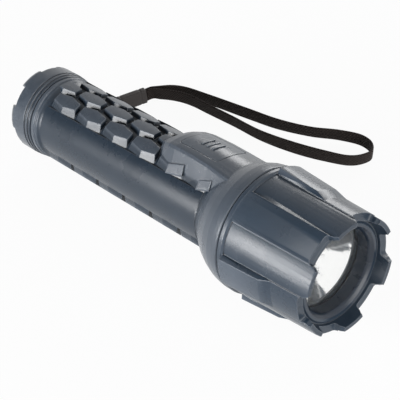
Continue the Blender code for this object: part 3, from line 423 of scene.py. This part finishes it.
# %% Woven strap finish
def woven(name, thread, dark, light):
    """Plain weave of threads `thread` metres wide; a painted highlight lifts the colour a little on the
    crowns.
    """
    finish = Finish(name)
    along = finish.add("ShaderNodeAttribute", {"attribute_name": "along"}, output="Fac")
    across = finish.add("ShaderNodeAttribute", {"attribute_name": "across"}, output="Fac")
    per_metre = math.pi / thread
    checker = finish.math("SINE", along * per_metre) * finish.math("SINE", across * per_metre)
    crown = finish.ramp(checker, -0.8, 0.9)
    fuzz = finish.noise(4200.0, 2.0)
    # The crowns' lift is a painted highlight; the fuzz is the thread's own uneven tone.
    painted_shading_tone = finish.ramp(crown * 0.7 + fuzz * 0.5, 0.25, 1.0)
    return finish.paint(Base_Color=finish.blend(painted_shading_tone, dark, light),
                        Roughness=finish.ramp(fuzz, 0.2, 0.8, 0.72, 0.92),
                        Normal=finish.bump(crown + fuzz * 0.35, 0.00030),
                        Specular_IOR_Level=0.2, Sheen_Weight=0.06, Sheen_Roughness=0.5)


WEBBING = woven("strap_webbing", 0.00085, rgb(0.004, 0.003, 0.0025), rgb(0.050, 0.037, 0.032))
STRING_FINISH = woven("strap_cord", 0.00045, rgb(0.010, 0.008, 0.007), rgb(0.030, 0.024, 0.021))
print("weave finishes:", WEBBING.name, STRING_FINISH.name)

# %% [markdown]
# A band is a section carried along a path. Its cross-section is a flat oval: the faces are nearly flat, the
# edges are round, and a selvedge stands a little proud near each edge. A lazy wave along the band lets the
# cloth lean a little from side to side, as slack webbing does.


# %% The flat band
CLOTH_WIDTH = 0.94 * BAND_WIDTH
SELVEDGE = (0.16, 0.82, 0.09)   # share of the thickness that it adds, its place and its breadth
LEAN = 0.00035
LEAN_WAVE = 0.085


def squared(wave, power):
    """A sine or cosine made squarer: its sign times its size to a power under 1."""
    return np.sign(wave) * np.abs(wave) ** power


def carried(path, up, outline):
    """Grid of points: each row is the outline's (across, up) pairs, set square to the path."""
    tangent = np.gradient(path, axis=0)
    tangent /= np.linalg.norm(tangent, axis=1)[:, None]
    raised = np.broadcast_to(np.asarray(up, float), path.shape)
    raised = raised - tangent * (raised * tangent).sum(axis=1, keepdims=True)
    raised = raised / np.linalg.norm(raised, axis=1)[:, None]
    sideways = np.cross(tangent, raised)
    return path[:, None, :] + outline[..., :1] * sideways[:, None, :] + outline[..., 1:] * raised[:, None, :]


def cloth_section(turn):
    """Outline of the band: an oval with flat faces, thicker by the selvedge's bump near its edges."""
    height = squared(np.sin(turn), 0.85)
    bump, place, breadth = SELVEDGE
    thickness = 0.46 * BAND_THICK * (1.0 + bump * np.exp(-((np.abs(height) - place) / breadth) ** 2))
    return np.stack([thickness * squared(np.cos(turn), 0.45), CLOTH_WIDTH / 2 * height], axis=-1)


band_path = smooth_route(band_points, 420)
band_length = length_of(band_path)
section = cloth_section(np.linspace(0.0, 2 * np.pi, 44, endpoint=False))
distance = np.linspace(0.0, band_length, len(band_path))
free = np.sin(np.pi * distance / band_length) ** 2
lean = LEAN * free * np.sin(distance * 2 * np.pi / LEAN_WAVE)
outline = np.broadcast_to(section, (len(band_path), *section.shape)).copy()
outline[..., 0] += lean[:, None] * section[:, 1] / (CLOTH_WIDTH / 2)
band_grid = carried(band_path, (0.0, 0.0, 1.0), outline)
band_across = np.cumsum(np.linalg.norm(np.diff(section, axis=0, append=section[:1]), axis=1))
band = surface("wrist_band", band_grid, WEBBING, ends=(band_path[0], band_path[-1]),
               along=np.broadcast_to(distance[:, None], band_grid.shape[:2]),
               across=np.broadcast_to(band_across, band_grid.shape[:2]))
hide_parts("strap_band")
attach(band, "flashlight")

# %% [markdown]
# The string is a cord of two laid strands: its radius swells and sinks round it, and the pattern turns as
# it runs, so radius = R (0.92 + 0.08 cos(2 (angle - twist x distance))). Its knot above the lug is a ball
# with the grooves of the strands wound round it.

# %% String and knot
TWIST = 0.006                   # length in which the strands turn once
KNOT_FLAT = 0.96                # height of the knot's ball, as a share of its width

string_path = smooth_route(string_points, 150)
string_length = length_of(string_path)
angle = np.linspace(0.0, 2 * np.pi, 20, endpoint=False)
run = np.linspace(0.0, string_length, len(string_path))[:, None]
swell = STRING_R * (0.92 + 0.08 * np.cos(2 * (angle[None, :] - run * 2 * np.pi / TWIST)))
ring = np.stack([swell * np.cos(angle), swell * np.sin(angle)], axis=-1)
string_grid = carried(string_path, (0.35, 0.90, 0.25), ring)
string = surface("strap_cord", string_grid, STRING_FINISH, ends=(string_path[0], string_path[-1]),
                 along=np.broadcast_to(run, string_grid.shape[:2]),
                 across=np.broadcast_to(STRING_R * angle, string_grid.shape[:2]))
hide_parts("strap_string")
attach(string, "flashlight")

polar = np.linspace(0.06, np.pi - 0.06, 40)[:, None]
around = np.linspace(0.0, 2 * np.pi, 56, endpoint=False)[None, :]
ball = KNOT_R * (1.0 - 0.10 * np.abs(np.sin(2.0 * around + 2.5 * np.cos(polar))) ** 6)
out = np.cross(upward, [1.0, 0.0, 0.0])
out /= np.linalg.norm(out)
over = np.cross(upward, out)
pole = upward * KNOT_R * KNOT_FLAT
knot_grid = (knot + (ball * np.sin(polar) * np.cos(around))[..., None] * out
             + (ball * np.sin(polar) * np.sin(around))[..., None] * over + np.cos(polar)[..., None] * pole)
knot_piece = surface("strap_knot", knot_grid, STRING_FINISH, ends=(knot + pole, knot - pole),
                     along=np.broadcast_to(KNOT_R * polar, knot_grid.shape[:2]),
                     across=np.broadcast_to(KNOT_R * around, knot_grid.shape[:2]))
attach(knot_piece, "flashlight")

# %% [markdown]
# The keeper is a short moulded sleeve. Along its length the section stays a rounded rectangle (a
# superellipse), and at each end it draws in along a quarter circle. Three shallow grooves round it give it
# grip.


# %% Keeper
KEEPER_ROUND = 0.0006
KEEPER_GROOVES = (0.0035, 0.0055, 0.0175)
GROOVE_DEPTH = 0.00022
GROOVE_WIDTH = 0.00035


def keeper_finish():
    finish = Finish("keeper_rubber")
    grain = finish.noise(3000.0, 3.0)
    return finish.paint(Base_Color=finish.blend(grain, rgb(0.016, 0.012, 0.011), rgb(0.045, 0.036, 0.033)),
                        Roughness=finish.ramp(grain, 0.3, 0.7, 0.50, 0.72),
                        Normal=finish.bump(grain, 0.00008))


length, thick, height = KEEPER
ends_and_middle = [np.linspace(0.0, 0.03, 6), np.linspace(0.04, 0.96, 70), np.linspace(0.97, 1.0, 6)]
share = np.concatenate(ends_and_middle)[:, None]
from_end = np.minimum(share, 1.0 - share) * length
draw_in = np.sqrt(np.clip(1.0 - (1.0 - np.clip(from_end / KEEPER_ROUND, 0.0, 1.0)) ** 2, 0.0, 1.0))
groove = sum(np.exp(-((share * length - place) / GROOVE_WIDTH) ** 2) for place in KEEPER_GROOVES)
shrink = GROOVE_DEPTH * groove + KEEPER_ROUND * (1.0 - draw_in)
corner = np.linspace(0.0, 2 * np.pi, 48, endpoint=False)[None, :]
wide = (thick / 2 - shrink) * squared(np.cos(corner), 0.35)
high = (height / 2 - shrink) * squared(np.sin(corner), 0.35)
keeper_grid = (keeper_back + (share * length)[..., None] * keeper_along + wide[..., None] * keeper_across
               + high[..., None] * np.array([0.0, 0.0, 1.0]))
keeper = surface("strap_keeper", keeper_grid, keeper_finish(), ends=(keeper_back, keeper_front))
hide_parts("strap_sleeve")
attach(keeper, "flashlight")

# %% [markdown]
# The body is one dark slate plastic with a satin sheen. Seen close it has a fine spark-eroded grain, noise
# with cells under half a millimetre. What stands out from the barrel is a little paler, found by its
# distance from the axis: partly rubbing wear, partly a painted sheen that sets it off from the slots. Edges
# are paler still, partly worn and partly a painted highlight, and recesses between close walls get painted
# shade, almost black. The grip and the tail cap are darker copies of the same plastic, as painted shade, and
# the bore of the head's throat is painted darker still, as shade.


# %% Slate body finish
SEAM = 0.1684
SLATE = (0.020, 0.035, 0.056)
# Pale colour of wear, and of the painted sheen and painted edge highlights.
SLATE_WORN_AND_LIT = rgb(0.150, 0.172, 0.205)
# Colour of the painted shade in recesses.
SLATE_HOLLOW_SHADE = rgb(0.003, 0.005, 0.008)
# Colour of the painted shade in the throat's bore.
SLATE_THROAT_SHADE = rgb(0.012, 0.020, 0.034)
# The throat's colour is painted shade in the head's bore.
THROAT_WALL = (0.0226, 0.0234)  # distances from the axis between which the throat's colour ends


def slate(name, wear_and_sheen_from, wear_and_sheen_to, throat=None, shade_reach=0.0042, edge_reach=0.0006, painted_shading_tone=1.0):
    """Housing plastic, paler away from the axis as wear and painted sheen; past throat, painted bore shade.
    """
    finish = Finish(name)
    cloud = finish.noise(45.0, 3.0)
    grain = finish.noise(2400.0, 2.0)
    scuff = finish.noise(300.0, 4.0, roughness=0.65)
    rounded = finish.rounded(edge_reach)
    edge = finish.edges(rounded)
    rounded = finish.unfaceted(rounded)
    # Paler away from the axis: part rubbing wear, part a painted sheen that sets the raised tops off from the
    # slots.
    wear_and_sheen = finish.ramp(finish.from_axis() + (scuff - 0.5) * 0.0010, wear_and_sheen_from, wear_and_sheen_to)
    # Paler edges: part wear, part a painted highlight along each edge.
    worn_and_highlit_edge = finish.ramp(edge * (0.6 + scuff * 0.8), 0.10, 0.7, 0.0, 0.85)
    # Painted shade: recesses where walls stand close are coloured almost black.
    hollow_shade = finish.ramp(finish.hollow_shade_mask(shade_reach), 0.24, 0.55, 0.0, 0.97)
    patches = finish.ramp(cloud + (scuff - 0.5) * 0.12, 0.34, 0.70)
    # A factor under 1 darkens this copy of the plastic as painted shade, where the lamps light it too much.
    plain = [painted_shading_tone * channel for channel in SLATE]
    colour = finish.blend(patches * 0.5, rgb(*plain), rgb(*(0.72 * channel for channel in plain)))
    colour = finish.blend(wear_and_sheen * 0.35, colour, SLATE_WORN_AND_LIT)
    colour = finish.blend(worn_and_highlit_edge, colour, SLATE_WORN_AND_LIT)
    colour = finish.blend(hollow_shade, colour, SLATE_HOLLOW_SHADE)
    # Painted shade: the bore in the head's throat is darkened, as it lies in its own shadow.
    if throat:
        bore = finish.ramp(finish.from_axis(), *THROAT_WALL, 1.0, 0.0)
        painted_throat_shade = bore * finish.ramp(finish.along_axis(), throat, throat + 0.0005)
        colour = finish.blend(painted_throat_shade * 0.9, colour, SLATE_THROAT_SHADE)
    roughness = finish.ramp(patches + (scuff - 0.5) * 0.3, 0.0, 1.0, 0.33, 0.23) - edge * 0.04
    normal = finish.bump(grain + scuff * 0.5, 0.00003, rounded)
    return finish.paint(Base_Color=colour, Roughness=roughness, Normal=normal, Specular_IOR_Level=0.5)


# The grip and the tail cap are darker copies of the same plastic: painted shade.
GRIP_FINISH = slate("slate_grip", 0.0216, 0.0226, painted_shading_tone=0.72)
dress(GRIP_FINISH, "body_housing")
dress(slate("slate_button", 0.0275, 0.0285, shade_reach=0.0008, edge_reach=0.0002), "switch_button")
HEAD_FINISH = slate("slate_head", 0.0312, 0.0334, throat=SEAM + 0.0370, shade_reach=0.0010)
dress(HEAD_FINISH, "head_shell")
dress(slate("slate_tail", 0.0230, 0.0238, painted_shading_tone=0.7), "tail_cap")

# %% [markdown]
# Beside the switch platform the last two tiles of the row show only their outer facet, which stands out of
# the platform's side. Each is a small wedge: an outer face of four corners, whose upper edge is repeated a
# little deeper and further round. Corners are (radius, angle, distance), and the other mould half has the
# mirror image.

# %% Facets beside the switch platform
FACETS = [((0.0236, 43.7, 0.1163), (0.0254, 38.1, 0.1259), (0.0222, 50.2, 0.1266), (0.0217, 55.6, 0.1162)),
          ((0.0236, 43.7, 0.1375), (0.0255, 39.0, 0.1452), (0.0226, 49.6, 0.1454), (0.0217, 55.5, 0.1373))]
WEDGE_DEPTH = 0.0011
WEDGE_TURN = 3.0


def facet_wedge(name, corners, mirror):
    work = bmesh.new()
    back = [(radius - WEDGE_DEPTH, angle - WEDGE_TURN, along) for radius, angle, along in corners[:2]]
    verts = [work.verts.new(body_point(radius, mirror * angle, along))
             for radius, angle, along in [*corners, *back]]
    for face in ((0, 1, 2, 3), (1, 0, 4, 5), (0, 3, 4), (1, 5, 2), (2, 5, 4, 3)):
        work.faces.new([verts[index] for index in face])
    bmesh.ops.recalc_face_normals(work, faces=work.faces)
    mesh = bpy.data.meshes.new(name)
    work.to_mesh(mesh)
    work.free()
    piece = linked(name, mesh, GRIP_FINISH)
    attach(piece, "flashlight")


for index, corners in enumerate(FACETS):
    facet_wedge(f"facet_near_{index}", corners, 1)
    facet_wedge(f"facet_far_{index}", corners, -1)
print("facets:", 2 * len(FACETS))

# %% [markdown]
# The five raised platforms of the head have sloping sides: the foot of a side lies on the sector's border,
# and its top edge leans in over the platform by up to FLANK_LEAN degrees, fading out where the platform
# runs down to the shell. The solid has upright sides there, so a merged copy of it gets its top edges drawn
# in. The shell's radius, which tells a top edge from a foot, falls evenly from HEAD_REAR_R to HEAD_FRONT_R.

# %% Sloping platform sides
HEAD_LENGTH = 0.0529
HEAD_REAR_R = 0.0317
HEAD_FRONT_R = 0.0296
PLATFORM_MIDDLES = (108.5, 168.5, 228.5, 288.5, 348.5)
PLATFORM_HALF = 15.0
PLATFORM_TOP_TO = SEAM + 0.0266
PLATFORM_RUN_OUT = 0.0090
FLANK_LEAN = 2.6


def sloped_head(node):
    """Copy a head shell and turn each platform's upper corner points towards the platform's middle."""
    work = bmesh.new()
    work.from_mesh(node.data)
    work.transform(node.matrix_world)
    bmesh.ops.remove_doubles(work, verts=work.verts, dist=2e-6)
    origin, axis, rise, side = (Vector(values) for values in (AXIS_POINT, AXIS, RISE, SIDE))
    moved = 0
    for vert in work.verts:
        offset = vert.co - origin
        along = offset.dot(axis)
        flat = offset - along * axis
        angle = REST_ROLL - math.degrees(math.atan2(flat.dot(side), flat.dot(rise)))
        shell = HEAD_REAR_R - (HEAD_REAR_R - HEAD_FRONT_R) * (along - SEAM) / HEAD_LENGTH
        if flat.length < shell + FIT:
            continue
        for middle in PLATFORM_MIDDLES:
            lean = (angle - middle + 180.0) % 360.0 - 180.0
            if abs(abs(lean) - PLATFORM_HALF) < 0.4:
                fade = min(1.0, max(0.0, 1.0 - (along - PLATFORM_TOP_TO) / PLATFORM_RUN_OUT))
                turn = Matrix.Rotation(math.radians(-math.copysign(FLANK_LEAN * fade, lean)), 3, axis)
                vert.co = origin + along * axis + turn @ flat
                moved += 1
    mesh = bpy.data.meshes.new("head_shell_sloped")
    work.to_mesh(mesh)
    work.free()
    mesh.shade_smooth()
    mesh.set_sharp_from_angle(angle=math.radians(9))
    print(mesh.name, "corner points moved", moved)
    return linked("head_shell_sloped", mesh, HEAD_FINISH)


head_piece = sloped_head(frame["nodes"]["head_shell"])
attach(head_piece, "head")
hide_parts("head_shell")

# %% [markdown]
# The reflector has a mirror coating. As a solid it is faceted, and a mirror shows facets at once, so a fine
# bowl is turned over it, with radius = hole + (rim - hole) x (share of the depth) ^ 0.8. That is a cone
# which bows a little, open enough for its wall to send a slanting view back out of the throat. The coating
# has a faint orange peel, which breaks the reflections up softly.

# %% Reflector bowl
RIM = SEAM + 0.0356
RIM_R = 0.0203
HOLE_R = 0.0040
BOWL_DEPTH = 0.0220
BOWL_POWER = 0.80
LIP_R = (0.0212, 0.0223, 0.0216)    # inner and outer edge of the flange, and its inner edge behind
FLANGE = 0.0027
NECK_WALL = 0.0024
NECK_END = SEAM + 0.0124
BOWL_WALL = (0.0010, 0.0002)        # how far the back of the bowl lies outside and behind it


def turned_piece(name, profile, material, columns=160):
    """Turn a closed profile of (radius, distance) rows: place = centre + radius x (rise cos + side sin)."""
    profile = np.asarray([*profile, profile[0]], float)
    around = np.linspace(0.0, 2 * np.pi, columns, endpoint=False)
    radial = np.cos(around)[:, None] * RISE + np.sin(around)[:, None] * SIDE
    grid = (AXIS_POINT + profile[:, 1, None, None] * AXIS) + profile[:, 0, None, None] * radial[None, :, :]
    piece = surface(name, grid, material)
    work = bmesh.new()
    work.from_mesh(piece.data)
    bmesh.ops.remove_doubles(work, verts=work.verts, dist=1e-7)
    bmesh.ops.recalc_face_normals(work, faces=work.faces)
    work.to_mesh(piece.data)
    work.free()
    piece.data.set_sharp_from_angle(angle=math.radians(40))
    return piece


def mirror_coating():
    finish = Finish("mirror_coating")
    peel = finish.noise(900.0, 2.0)
    return finish.paint(Base_Color=rgb(0.98, 0.98, 0.97), Metallic=1.0,
                        Roughness=finish.ramp(peel, 0.2, 0.8, 0.05, 0.11), Normal=finish.bump(peel, 0.00002))


bowl_z = (RIM - BOWL_DEPTH) + BOWL_DEPTH * np.linspace(0.0, 1.0, 60) ** 1.3
bowl = [(HOLE_R + (RIM_R - HOLE_R) * ((z - bowl_z[0]) / BOWL_DEPTH) ** BOWL_POWER, z) for z in bowl_z]
lip = [(LIP_R[0], RIM), (LIP_R[1], RIM), (LIP_R[1], RIM - FLANGE), (LIP_R[2], RIM - FLANGE)]
back = [(radius + BOWL_WALL[0], z - BOWL_WALL[1]) for radius, z in bowl[:-6:6]][::-1]
neck = [(HOLE_R + NECK_WALL, bowl[0][1]), (HOLE_R + NECK_WALL, NECK_END), (HOLE_R, NECK_END)]
reflector = turned_piece("reflector_bowl", bowl + lip + back + neck, mirror_coating())
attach(reflector, "head")
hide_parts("reflector")

# %% [markdown]
# The lens is clear and thin. A Principled shader that is nearly all transparent lets the lamps light the
# bowl behind it, and the little that stays gives the disc its gloss.


# %% Lens
def clear_lens():
    finish = Finish("clear_lens")
    dust = finish.noise(1500.0, 3.0)
    return finish.paint(Base_Color=rgb(0.90, 0.94, 0.96), Roughness=0.03, IOR=1.49,
                        Alpha=finish.ramp(dust, 0.45, 0.85, 0.03, 0.06))


dress(clear_lens(), "lens")

# %% [markdown]
# The inner parts show when the head or the tail cap comes off. Turned metal has fine rings round the axis,
# so its bump is a wave of the distance along it; a circuit board has a woven core under its mask; a cell
# has a printed-film jacket left plain; rubber is dull and mottled.


# %% Finishes of the inner parts
def turned_metal(name, colour, pitch=0.00025, roughness=0.28):
    finish = Finish(name)
    rings = finish.math("SINE", finish.along_axis() * (2 * math.pi / pitch))
    cloud = finish.noise(120.0, 3.0)
    dull = rgb(*(0.82 * channel for channel in colour))
    return finish.paint(Base_Color=finish.blend(cloud, rgb(*colour), dull), Metallic=1.0,
                        Roughness=finish.ramp(cloud, 0.3, 0.7, roughness, roughness + 0.12),
                        Normal=finish.bump(rings, 0.000008))


def mottled(name, colour, roughness, grain=1800.0, depth=0.00003, lift=1.6):
    finish = Finish(name)
    spots = finish.noise(grain, 3.0)
    pale = rgb(*(min(1.0, lift * channel) for channel in colour))
    return finish.paint(Base_Color=finish.blend(finish.ramp(spots, 0.35, 0.75), rgb(*colour), pale),
                        Roughness=finish.ramp(spots, 0.3, 0.7, roughness, roughness + 0.1),
                        Normal=finish.bump(spots, depth))


def board_mask():
    finish = Finish("board_mask")
    weave = finish.add("ShaderNodeTexChecker", {}, {"Vector": finish.place(), "Scale": 2200.0,
                                                    "Color1": rgb(1, 1, 1), "Color2": rgb(0, 0, 0)}, "Fac")
    return finish.paint(Base_Color=finish.blend(weave, rgb(0.018, 0.13, 0.055), rgb(0.03, 0.17, 0.075)),
                        Roughness=0.35, Normal=finish.bump(weave, 0.00001))


ALUMINIUM = turned_metal("turned_aluminium", (0.66, 0.67, 0.69))
BRASS = turned_metal("turned_brass", (0.76, 0.58, 0.28), roughness=0.22)
BLACK = mottled("black_plastic", (0.022, 0.022, 0.023), 0.45)
SEAL = mottled("seal_rubber", (0.012, 0.012, 0.013), 0.72)
dress(ALUMINIUM, "barrel_tube", "neck_ring", "heatsink", "reflector_ring", "tail_thread_ring")
dress(BRASS, "tail_contact", "front_contact")
dress(turned_metal("spring_wire", (0.62, 0.62, 0.63), roughness=0.2), "tail_spring")
dress(BLACK, "contact_carrier", "switch_body", "switch_plunger", "head_thrust_washer")
dress(SEAL, "tail_oring", "head_oring", "lens_gasket")
dress(mottled("cell_jacket", (0.05, 0.052, 0.058), 0.3, grain=90.0, depth=0.00001, lift=1.25), "battery_rear",
      "battery_front")
dress(mottled("wire_jacket", (0.42, 0.03, 0.025), 0.45), "contact_lead", "switch_lead_near",
      "switch_lead_far")
dress(board_mask(), "switch_board", "led_board")
dress(mottled("led_phosphor", (0.80, 0.66, 0.16), 0.25, grain=3000.0, lift=1.15), "led_emitter")

# %% [markdown]
# The floor is plain and almost white. What the camera sees of it is mostly its own pale colour, so that it
# stays white without extra light, and a part of it still takes the soft shadow under the barrel.


# %% Floor
FLOOR_SIZE = 6.0
FLOOR_SINK = 0.0002             # how far the floor lies under the solids
FLOOR_GLOW = 0.94               # share of its look that is plain white


def pale_floor():
    """Diffuse white for the light that falls on it; for what is seen, a mix with plain white."""
    finish = Finish("pale_floor")
    finish.paint(Base_Color=rgb(0.90, 0.90, 0.90), Roughness=0.9)
    glow = finish.add("ShaderNodeEmission", {}, {"Color": rgb(1.0, 1.0, 1.0), "Strength": 1.0})
    finish.show(Signal(finish, finish.shader.outputs[0]), glow, finish.is_seen() * FLOOR_GLOW)
    return finish.material


bpy.ops.mesh.primitive_plane_add(size=FLOOR_SIZE, location=(0.0, 0.0, -FLOOR_SINK))
floor = bpy.context.object
floor.name = "floor"
floor.data.materials.append(pale_floor())
print("floor", FLOOR_SIZE, "m")

# %% [markdown]
# The world gives weak light from all sides, but what is seen of it, straight or in a mirror, is white.
# Towards CARD_TOWARDS, above the viewer's side of the tail, it darkens smoothly like a grey card in a
# photographer's tent. The satin plastic mirrors that card, which keeps a grey film off its upper faces.


# %% World
WORLD_COLOUR = rgb(0.96, 0.98, 1.0)
WORLD_STRENGTH = 0.17
CARD_TOWARDS = Vector((-0.578, -0.485, 0.656)).normalized()
CARD_EDGE = (0.38, 0.95)        # cosine to CARD_TOWARDS where it starts, and where it is fully dark
CARD_WHITE = (1.0, 0.22)        # brightness at those two


def soft_world():
    world = bpy.data.worlds.new("soft_world")
    world.use_nodes = True
    nodes = Nodes(world.node_tree)
    lit = world.node_tree.nodes["Background"]
    nodes.feed(lit.inputs["Color"], WORLD_COLOUR)
    nodes.feed(lit.inputs["Strength"], WORLD_STRENGTH)
    direction = nodes.add("ShaderNodeTexCoord", output="Generated")
    facing = nodes.vector("DOT_PRODUCT", direction, tuple(CARD_TOWARDS), "Value")
    card = nodes.add("ShaderNodeMapRange", {"interpolation_type": "SMOOTHSTEP"},
                     {"Value": facing, "From Min": CARD_EDGE[0], "From Max": CARD_EDGE[1],
                      "To Min": CARD_WHITE[0], "To Max": CARD_WHITE[1]})
    white = nodes.add("ShaderNodeBackground", {}, {"Color": card, "Strength": 1.0})
    nodes.show(Signal(nodes, lit.outputs[0]), white, nodes.is_seen())
    return world


bpy.context.scene.world = soft_world()
bpy.context.scene.view_settings.view_transform = "Standard"
print("world strength", WORLD_STRENGTH)

# %% [markdown]
# Three large soft lamps: a low key on the viewer's side, which draws the sheen along the barrel and
# brightens the tiles' outer walls, a strip behind that lights the upper edges, and a lamp beyond the head,
# which fills the throat and the faces that look forward.


# %% Lamps
AIM = (0.0, 0.0, 0.03)


def soft_lamp(name, place, size, power, aim=AIM):
    """Area lamp at place, turned so that its -Z looks at aim."""
    lamp = bpy.data.objects.new(name, bpy.data.lights.new(name, "AREA"))
    lamp.data.shape = "RECTANGLE"
    lamp.data.size, lamp.data.size_y = size
    lamp.data.energy = power
    lamp.location = place
    lamp.rotation_mode = "QUATERNION"
    lamp.rotation_quaternion = (Vector(aim) - Vector(place)).to_track_quat("-Z", "Y")
    bpy.context.scene.collection.objects.link(lamp)
    print(name, "at", place, "power", power)


soft_lamp("key", (-0.25, -0.95, 0.28), (0.80, 0.40), 13.5)
soft_lamp("strip", (-0.20, 0.90, 0.30), (0.90, 0.30), 4.5)
soft_lamp("front", (0.95, -0.10, 0.30), (0.80, 0.70), 7.0, aim=(0.05, 0.0, 0.03))
